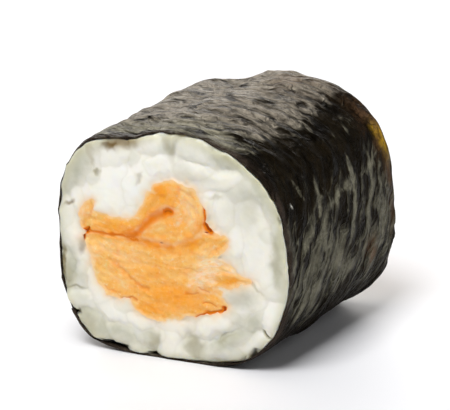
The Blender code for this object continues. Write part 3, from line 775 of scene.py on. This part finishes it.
def salmon_face(points, name):
    """How far the cut stands out, with its creases, layers, fibres and soft edge."""
    along, across = strip_pattern(points, name)
    grooves = 0.05 * noise(along / 2.2, across / 0.4 + 20, 41)
    grain = 0.05 * point_noise(points, 0.45, 42)
    lumps = 0.11 * point_noise(points, 1.8, 43)
    flakes = 0.09 * noise(points[:, 0] / 0.9 + points[:, 1] / 2.5, points[:, 1] / 0.7, 44)
    level = smooth_step(-filling_distance(points), 0, 0.6)
    return SALMON_STAND_OUT + level * (grooves + grain + lumps + flakes) - CREASE_DEPTH * creases(points)[0]


def build_salmon(name):
    distance = functools.partial(piece_distance, name=name)
    loop = contour(distance, SALMON_STEP)
    inside = lattice_inside(distance, SALMON_STEP)
    inside = inside[within(inside, loop)]
    triangles = filled([loop], inside)
    vertices, flat, faces = [], [], side_faces(SALMON_STATIONS, len(loop))
    rim_height = salmon_face(loop, name)
    for share in np.linspace(-1, 1, SALMON_STATIONS):
        y = share * (HALF_LENGTH + rim_height * (abs(share) == 1))
        vertices.append(to_metres(filling_at(loop, y), y, 0))
        flat.append(loop)
    last_ring = (SALMON_STATIONS - 1) * len(loop)
    for end, first in ((-1, 0), (1, last_ring)):
        y = end * (HALF_LENGTH + salmon_face(inside, name))
        start = sum(len(v) for v in vertices)
        vertices.append(to_metres(filling_at(inside, y), y, 0))
        flat.append(inside)
        numbers = np.concatenate([np.arange(len(loop)) + first, np.arange(len(inside)) + start])
        faces += numbers[triangles].tolist()
    flat = np.vstack(flat)
    along, across = strip_pattern(flat, name)
    edge = -filling_distance(flat)
    attributes = {
        "along": along,
        "across": across,
        "edge": edge,
        "to_join": np.minimum(edge, np.abs(ragged_distance(flat, STRIPS["salmon_fold"]))),
        "crease_shade": creases(flat)[1],
        "fat": blobs(flat, FAT_PATCHES),
        "deep": blobs(flat, DEEP_AND_SHADED_PATCHES),
    }
    return new_piece(name + "_slice", np.vstack(vertices), faces, name, attributes)


# ---- the rice ----
def rim_distance(points):
    """Distance to the side of the rice on the way from the middle, negative inside."""
    degrees = np.arange(360)
    rim = section(degrees, rice_inset(degrees))
    radius = np.linalg.norm(rim - MIDDLE, axis=1)
    room = np.interp(share_round(points), share_round(rim), radius, period=1)
    return np.linalg.norm(points - MIDDLE, axis=1) - room


def rice_distance(points):
    return np.maximum(rim_distance(points), -filling_distance(points))


def grains_for(end):
    """The grains of one cut face: rows of x, z, direction, half length, half width, top, tilt and tone.

    The near face starts from its own listed grains, and seeded ones fill in. Those in a belt along the
    rim lie about level with it.
    """
    rng = np.random.default_rng(GRAIN_SEED + end)
    grains = []
    if end < 0:
        for x, z, degrees, half_length, half_width, top, tone in HERO_GRAINS:
            tilt = rng.uniform(-0.06, 0.06)
            grains.append((x, z, math.radians(degrees), half_length, half_width, top, tilt, tone))
    tries = np.stack([rng.uniform(-14, 14, GRAIN_TRIES), rng.uniform(0, 26, GRAIN_TRIES)], axis=1)
    for place, to_rim, to_salmon in zip(tries, rim_distance(tries), filling_distance(tries)):
        if to_rim > -0.5 or to_salmon < 0.3:
            continue
        if any(math.dist(place, grain[:2]) < GRAIN_SPACING for grain in grains):
            continue
        level = math.atan2(place[1] - MIDDLE[1], place[0]) + math.pi / 2
        turn = 0.5 if to_rim > -RIM_BELT else math.pi / 2
        direction = level + rng.uniform(-turn, turn)
        half_length = rng.uniform(1.5, 1.9) if rng.uniform() < SHORT_GRAIN_SHARE else rng.uniform(2.2, 3.0)
        shape = (half_length, rng.uniform(1.05, 1.35), rng.uniform(-0.1, 0.25))
        grains.append((*place, direction, *shape, rng.uniform(-0.08, 0.08), rng.uniform(0, 1)))
    return np.array(grains)


@in_chunks
def grain_relief(points, grains):
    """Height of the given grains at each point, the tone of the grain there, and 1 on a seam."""
    x, z, direction, half_length, half_width, top, tilt, tone = grains.T
    across, up = points[:, :1] - x, points[:, 1:] - z
    u = (across * np.cos(direction) + up * np.sin(direction)) / half_length
    v = (up * np.cos(direction) - across * np.sin(direction)) / half_width
    reach = (np.abs(u) ** 2.5 + np.abs(v) ** 2.1) ** 0.5
    fall = 0.36 * np.minimum(reach, 1) ** 2.2 + 0.45 * np.clip(reach - 1, 0, 9)
    height = top + tilt * u * half_length - fall
    sharpness, seam_width = 18, 0.06
    weight = np.exp(sharpness * (height - height.max(axis=1, keepdims=True)))
    total = height.max(axis=1) + np.log(weight.sum(axis=1)) / sharpness
    second, first = np.partition(height, -2, axis=1)[:, -2:].T
    weight /= weight.sum(axis=1, keepdims=True)
    return total, (weight * tone).sum(axis=1), np.exp((second - first) / seam_width)


def knife(height, softness=0.08):
    """Rounds off what stands above the knife's plane, at KNIFE_TOP."""
    return KNIFE_TOP - np.logaddexp(0, (KNIFE_TOP - height) / softness) * softness


def rice_face(points, end):
    """Depth out of the cut, and the shading values, of a cut face of the rice."""
    moved = stray(stray(points, 0.3, 1.3, 67), 0.1, 0.45, 69)
    relief, tone, seam = grain_relief(moved, grains_for(end))
    uneven = 0.1 * point_noise(points, 2.6, 51 + end)
    lumpy = 0.05 * point_noise(points, 0.9, 54 + end)
    fine = 0.015 * point_noise(points, 0.4, 57 + end)
    cut = np.maximum(knife(relief), -DEEPEST_PIT)
    room = -rim_distance(points)
    near = np.exp(-np.clip(filling_distance(points), 0, 9) / 0.4)
    height = (cut + uneven + lumpy + fine) * (1 - near)
    if end < 0:
        tone = np.clip(tone * 0.7 + 0.3 - blobs(points, GLASSY_PATCHES), 0, 1)
        height = height - HOLLOW_DEPTH * blobs(points, HOLLOWS)
    # Deeper pits are painted darker: painted shade in the hollows between grains.
    pit_shade = np.clip(-cut / DEEPEST_PIT, 0, 1)
    values = {"tone": tone, "pit_shade": pit_shade, "seam": seam, "rim": room, "salmon_near": near}
    for column, key in enumerate(("olive_and_shade", "brown", "black"), start=5):
        values[key] = blobs(points, STAINS_AND_SHADE if end < 0 else (), column)
    values["height"] = height - RIM_DROP * np.exp(-np.clip(room, 0, 9) / 0.15)
    return values


def build_rice():
    degrees = np.linspace(0, 360, round(RICE_GIRTH / RICE_STEP), endpoint=False)
    rim = section(degrees, rice_inset(degrees))
    hole = contour(filling_distance, RICE_STEP)
    inside = lattice_inside(rice_distance, RICE_STEP)
    inside = inside[~within(inside, hole)]
    triangles = filled([rim, hole], inside)
    flat = np.vstack([rim, hole, inside])
    half = HALF_LENGTH + RICE_STAND_OUT
    values = {end: rice_face(flat, end) for end in (-1, 1)}
    # The cut face and the numbers of its points that each run of vertices takes its values from.
    vertices, faces, sources = [], [], []
    for loop, first in ((rim, 0), (hole, len(rim))):
        numbers = np.arange(len(loop)) + first
        faces += side_faces(len(RICE_STATIONS), len(loop), sum(len(v) for v in vertices))
        for share in RICE_STATIONS:
            end = -1 if share < 0 else 1
            sources.append((end, numbers))
            y = share * (half + values[end]["height"][numbers] * smooth_step(abs(share), 0.8, 1))
            if loop is rim:
                hidden_inset = 0.35 * smooth_step(1 - abs(share), 0, 0.04)
                vertices.append(to_metres(loop - hidden_inset * outwards(loop), y))
            else:
                vertices.append(to_metres(filling_at(loop, y), y, 0))
    loops, hole_start = len(rim) + len(hole), len(rim) * len(RICE_STATIONS)
    to_rim, to_filling = -rim_distance(inside), filling_distance(inside)
    carried = (to_rim / (to_rim + to_filling))[:, None]
    for end, ring in ((-1, 0), (1, len(RICE_STATIONS) - 1)):
        numbers = np.arange(loops, len(flat))
        sources.append((end, numbers))
        y = end * (half + values[end]["height"][numbers])
        rows = [
            np.arange(len(rim)) + ring * len(rim),
            np.arange(len(hole)) + hole_start + ring * len(hole),
            np.arange(len(inside)) + sum(len(v) for v in vertices),
        ]
        faces += np.concatenate(rows)[triangles].tolist()
        place = inside * (1 - carried) + filling_at(inside, y) * carried
        vertices.append(to_metres(place, y, smooth_step(to_rim, 2.5, 0)))
    attributes = {
        key: np.concatenate([values[end][key][numbers] for end, numbers in sources])
        for key in values[1]
        if key != "height"
    }
    return new_piece("rice_grains", np.vstack(vertices), faces, "rice", attributes)


# ---- materials ----
class Shader:
    """A Principled material and short ways to add nodes to it."""

    def __init__(self, name):
        self.material = bpy.data.materials.new(name)
        self.material.use_nodes = True
        self.tree = self.material.node_tree
        self.principled = self.tree.nodes["Principled BSDF"]

    def put(self, node, socket, value):
        """Links a socket, or sets a plain value."""
        if isinstance(value, bpy.types.NodeSocket):
            self.tree.links.new(value, node.inputs[socket])
        else:
            node.inputs[socket].default_value = value

    def put_all(self, node, values):
        """Links or sets sockets by their names, with an underscore for each space."""
        for key, value in values.items():
            self.put(node, key.replace("_", " "), value)

    def set(self, **values):
        self.put_all(self.principled, values)

    def node(self, kind, **values):
        node = self.tree.nodes.new("ShaderNode" + kind)
        self.put_all(node, values)
        return node

    def attribute(self, name):
        node = self.node("Attribute")
        node.attribute_name = name
        return node.outputs["Fac"]

    def place(self):
        return self.node("TexCoord").outputs["Object"]

    def noise(self, vector, scale, detail=3, roughness=0.5):
        inputs = {"Scale": scale, "Detail": detail, "Roughness": roughness}
        return self.node("TexNoise", Vector=vector, **inputs).outputs["Fac"]

    def spread(self, value, low, high, to_low=0, to_high=1):
        limits = {"From_Min": low, "From_Max": high, "To_Min": to_low, "To_Max": to_high}
        node = self.node("MapRange", Value=value, **limits)
        node.interpolation_type = "SMOOTHSTEP"
        return node.outputs["Result"]

    def math(self, operation, first, second):
        node = self.node("Math")
        node.operation = operation
        self.put(node, 0, first)
        self.put(node, 1, second)
        return node.outputs["Value"]

    def times(self, first, second):
        return self.math("MULTIPLY", first, second)

    def plus(self, first, *others):
        return functools.reduce(functools.partial(self.math, "ADD"), others, first)

    def stretched(self, u, u_rate, v, v_rate, detail):
        """Noise over two values, each at its own rate."""
        return self.noise(self.vector(self.times(u, u_rate), self.times(v, v_rate)), 1, detail)

    def mix(self, share, first, second):
        node = self.node("Mix")
        node.data_type = "RGBA"
        self.put(node, "Factor", share)
        sockets = [number for number, socket in enumerate(node.inputs) if socket.type == "RGBA"]
        for number, value in zip(sockets, (first, second)):
            self.put(node, number, (*value, 1) if isinstance(value, tuple) else value)
        return next(socket for socket in node.outputs if socket.type == "RGBA")

    def coats(self, colour, *others):
        """A colour with others laid over it in turn, each given after the share of it that shows."""
        for share, other in others:
            colour = self.mix(share, colour, other)
        return colour

    def vector(self, x, y):
        return self.node("CombineXYZ", X=x, Y=y).outputs["Vector"]

    def bump(self, height, distance, strength=1):
        node = self.node("Bump", Height=height, Distance=distance, Strength=strength)
        self.set(Normal=node.outputs["Normal"])


def nori_material():
    s = Shader("nori_looks")
    place = s.place()
    round_way, along, slanted = s.attribute("round"), s.attribute("along"), s.attribute("slanted")
    mottle = s.noise(place, 330, 5, 0.6)
    speck = s.noise(place, 1400, 4, 0.65)
    strayed = s.plus(slanted, s.times(s.stretched(round_way, 0.3, along, 0.4, 3), 3))
    veins = s.stretched(round_way, 0.22, strayed, 0.42, 3)
    ridge = s.spread(s.math("ABSOLUTE", s.math("SUBTRACT", veins, 0.5), 0), 0, 0.04, 1, 0)
    folds = s.stretched(round_way, 0.26, strayed, 0.8, 1)
    streaks = s.stretched(round_way, 0.55, strayed, 1.3, 1)
    # The pale share carries painted light: sheen on the top, shade on the shoulder and near the floor.
    cover_and_painted_light = s.times(s.attribute("cover_and_painted_light"), 0.42)
    pattern = s.plus(s.times(folds, 0.6), s.times(streaks, 0.4), s.times(ridge, 0.1), cover_and_painted_light)
    pale = s.times(s.spread(pattern, 0.6, 0.91), s.spread(speck, 0.3, 0.6, 0.55, 1))
    # The pale bloom is painted lighter on the top, as painted sheen, and darker and greener on the sheet's
    # side, as painted shade; near the cut it is greener than on the top.
    side_bloom_painted_shade, top_bloom_painted_sheen, cut_bloom = (0.235, 0.222, 0.16), (0.35, 0.305, 0.24), (0.29, 0.275, 0.19)
    bloom = s.mix(s.spread(round_way, 9, 14), side_bloom_painted_shade, top_bloom_painted_sheen)
    bloom = s.mix(s.spread(along, -5, -12, 0, 0.8), bloom, cut_bloom)
    colour = s.coats(
        (0.004, 0.0028, 0.0014),
        (s.spread(mottle, 0.36, 0.66), (0.013, 0.009, 0.004)),
        (s.spread(speck, 0.5, 0.72, 0, 0.4), (0.03, 0.025, 0.016)),
        (pale, bloom),
        (s.times(s.spread(along, -12.2, -13.3), s.spread(mottle, 0.35, 0.6, 0.3, 1)), (0.05, 0.036, 0.027)),
        (s.times(s.attribute("rust"), s.spread(mottle, 0.35, 0.6)), (0.19, 0.1, 0.05)),
        # Amber: painted glow of light shining through the sheet.
        (s.times(s.attribute("painted_amber_glow"), s.spread(speck, 0.35, 0.6, 0.3, 1)), (0.62, 0.36, 0.012)),
        (s.attribute("black"), (0.003, 0.003, 0.002)),
        # Specks: painted glints.
        (s.attribute("speck"), (0.8, 0.78, 0.7)),
    )
    s.set(Base_Color=colour, Roughness=s.spread(mottle, 0.3, 0.7, 0.36, 0.56))
    s.set(IOR=1.5, Specular_IOR_Level=0.04, Specular_Tint=(1, 0.86, 0.68, 1))
    waves = s.times(s.stretched(round_way, 0.2, strayed, 0.45, 2), s.spread(round_way, 8, 16, 0, 3.2))
    folds = s.times(folds, s.spread(round_way, 8, 16, 1.1, 1.5))
    s.bump(s.plus(folds, waves, s.times(speck, 0.35), s.times(mottle, 0.7), s.times(ridge, 0.2)), 0.0015)
    return s.material


def rice_material():
    s = Shader("rice_looks")
    place = s.place()
    colour = s.coats(
        (0.55, 0.55, 0.44),
        (s.attribute("tone"), (0.95, 0.93, 0.86)),
        (s.spread(s.noise(place, 420, 4, 0.55), 0.35, 0.7, 0, 0.3), (0.96, 0.94, 0.88)),
        (s.times(s.attribute("seam"), 0.22), (0.58, 0.55, 0.4)),
        # Near the rim the rice is painted darker and yellower: partly its own cream tint, partly painted
        # shade from the dark sheet beside it.
        (s.times(s.spread(s.attribute("rim"), 1.1, 0.1), 0.6), (0.62, 0.6, 0.42)),
        (s.times(s.attribute("salmon_near"), 0.8), (0.95, 0.62, 0.33)),
        # Painted shade in the pits.
        (s.spread(s.attribute("pit_shade"), 0.3, 1, 0, 0.75), (0.5, 0.44, 0.26)),
        # Olive: partly tint, partly painted shade in the hollows.
        (s.attribute("olive_and_shade"), (0.33, 0.29, 0.13)),
        (s.attribute("brown"), (0.2, 0.13, 0.045)),
        (s.attribute("black"), (0.012, 0.011, 0.008)),
    )
    s.set(Base_Color=colour, Roughness=0.3, IOR=1.4)
    s.set(Subsurface_Scale=0.0007, Subsurface_Radius=(1, 0.9, 0.65))
    s.set(Subsurface_Weight=s.spread(s.attribute("salmon_near"), 0.3, 1, 1, 0.1))
    s.bump(s.noise(place, 1400), 0.00008, 0.35)
    return s.material


def salmon_material():
    s = Shader("salmon_looks")
    place = s.place()
    along, across, crease_shade = s.attribute("along"), s.attribute("across"), s.attribute("crease_shade")
    wander = s.noise(place, 260, 4, 0.55)
    fine = s.noise(place, 900, 4, 0.6)
    flecks_and_glints = s.noise(place, 2300, 3, 0.6)
    lines = s.noise(s.vector(s.times(along, 0.3), s.plus(across, s.times(wander, 1.8))), 1.9, 3, 0.55)
    streaks = s.noise(s.vector(s.times(along, 0.5), s.plus(across, wander)), 2.2, 4, 0.6)
    colour = s.coats(
        (1, 0.475, 0.115),
        (s.spread(wander, 0.3, 0.7), (1, 0.585, 0.205)),
        (s.spread(fine, 0.4, 0.65, 0, 0.35), (0.96, 0.4, 0.05)),
        (s.spread(flecks_and_glints, 0.46, 0.3, 0, 0.5), (0.95, 0.37, 0.035)),
        (s.spread(lines, 0.52, 0.72, 0, 0.45), (0.96, 0.66, 0.34)),
        (s.times(s.attribute("fat"), s.spread(streaks, 0.35, 0.65, 0.25, 0.85)), (0.96, 0.8, 0.62)),
        # Pale specks are painted glints: tiny moist highlights.
        (s.spread(flecks_and_glints, 0.55, 0.72, 0, 0.5), (0.97, 0.74, 0.46)),
        # Deep orange, partly painted shade under the fold.
        (s.times(s.attribute("deep"), 0.75), (1, 0.34, 0.003)),
        (s.times(s.spread(s.attribute("edge"), 0.55, -0.1), 0.7), (0.96, 0.68, 0.4)),
        # Painted shade in the creases, darker in the deepest.
        (s.spread(crease_shade, 0.05, 0.7), (0.76, 0.185, 0.002)),
        (s.spread(crease_shade, 0.75, 1), (0.36, 0.06, 0.003)),
    )
    s.set(Base_Color=colour, Roughness=0.34, IOR=1.4, Specular_IOR_Level=0.15)
    s.set(Subsurface_Scale=0.0006, Subsurface_Radius=(1, 0.45, 0.2))
    s.set(Subsurface_Weight=s.spread(s.attribute("to_join"), 0, 0.5, 0.1, 0.8))
    s.bump(s.plus(fine, s.times(lines, 0.5), s.times(flecks_and_glints, 0.7)), 0.00025, 0.5)
    return s.material


# ---- the stage ----
def build_floor():
    mesh = bpy.data.meshes.new("floor")
    reach = 3
    corners = [(-reach, -reach, 0), (reach, -reach, 0), (reach, reach, 0), (-reach, reach, 0)]
    mesh.from_pydata(corners, [], [(0, 1, 2, 3)])
    floor = in_scene("floor", mesh)
    s = Shader("floor_looks")
    s.set(Base_Color=(0.85, 0.85, 0.872, 1), Roughness=0.6)
    floor.data.materials.append(s.material)


def soft_light(name, place, width, height, watts, colour=(1, 1, 1)):
    """A rectangle of light that faces the roll."""
    light = bpy.data.lights.new(name, "AREA")
    light.shape = "RECTANGLE"
    light.size = width
    light.size_y = height
    light.energy = watts
    light.color = colour
    lamp = in_scene(name, light)
    lamp.location = place
    lamp.rotation_euler = (CAMERA_TARGET - Vector(place)).to_track_quat("-Z", "Y").to_euler()


def build_lights():
    soft_light("front_high", (-0.03, -0.9, 1.5), 0.85, 0.85, 28.5)
    soft_light("overhead", (0.0, 0.1, 1.6), 1.0, 1.0, 6.5)
    soft_light("back_left", (-1.15, 1.5, 0.5), 1.9, 0.9, 15, (1, 0.95, 0.88))
    soft_light("back", (-0.75, 1.75, 0.7), 1.4, 0.8, 7.5)
    soft_light("right", (1.5, 0.1, 1.0), 1.4, 1.4, 5.3)
    world = bpy.data.worlds.new("studio")
    world.use_nodes = True
    background = world.node_tree.nodes["Background"]
    background.inputs["Color"].default_value = (1, 1, 1, 1)
    background.inputs["Strength"].default_value = 0.02
    bpy.context.scene.world = world


def build_camera():
    azimuth, elevation = math.radians(CAMERA_AZIMUTH), math.radians(CAMERA_ELEVATION)
    level = math.cos(elevation)
    back = Vector((math.sin(azimuth) * level, -math.cos(azimuth) * level, math.sin(elevation)))
    data = bpy.data.cameras.new("camera")
    data.lens = CAMERA_LENS
    data.clip_start = 0.01
    camera = in_scene("camera", data)
    camera.location = CAMERA_TARGET + CAMERA_DISTANCE * back
    camera.rotation_euler = back.to_track_quat("Z", "Y").to_euler()
    bpy.context.scene.camera = camera


def main():
    build_camera()
    build_nori().data.materials.append(nori_material())
    salmon = salmon_material()
    build_salmon("salmon_fold").data.materials.append(salmon)
    build_salmon("salmon_slab").data.materials.append(salmon)
    build_rice().data.materials.append(rice_material())
    build_floor()
    build_lights()
    bpy.context.scene.view_settings.view_transform = "Standard"


main()
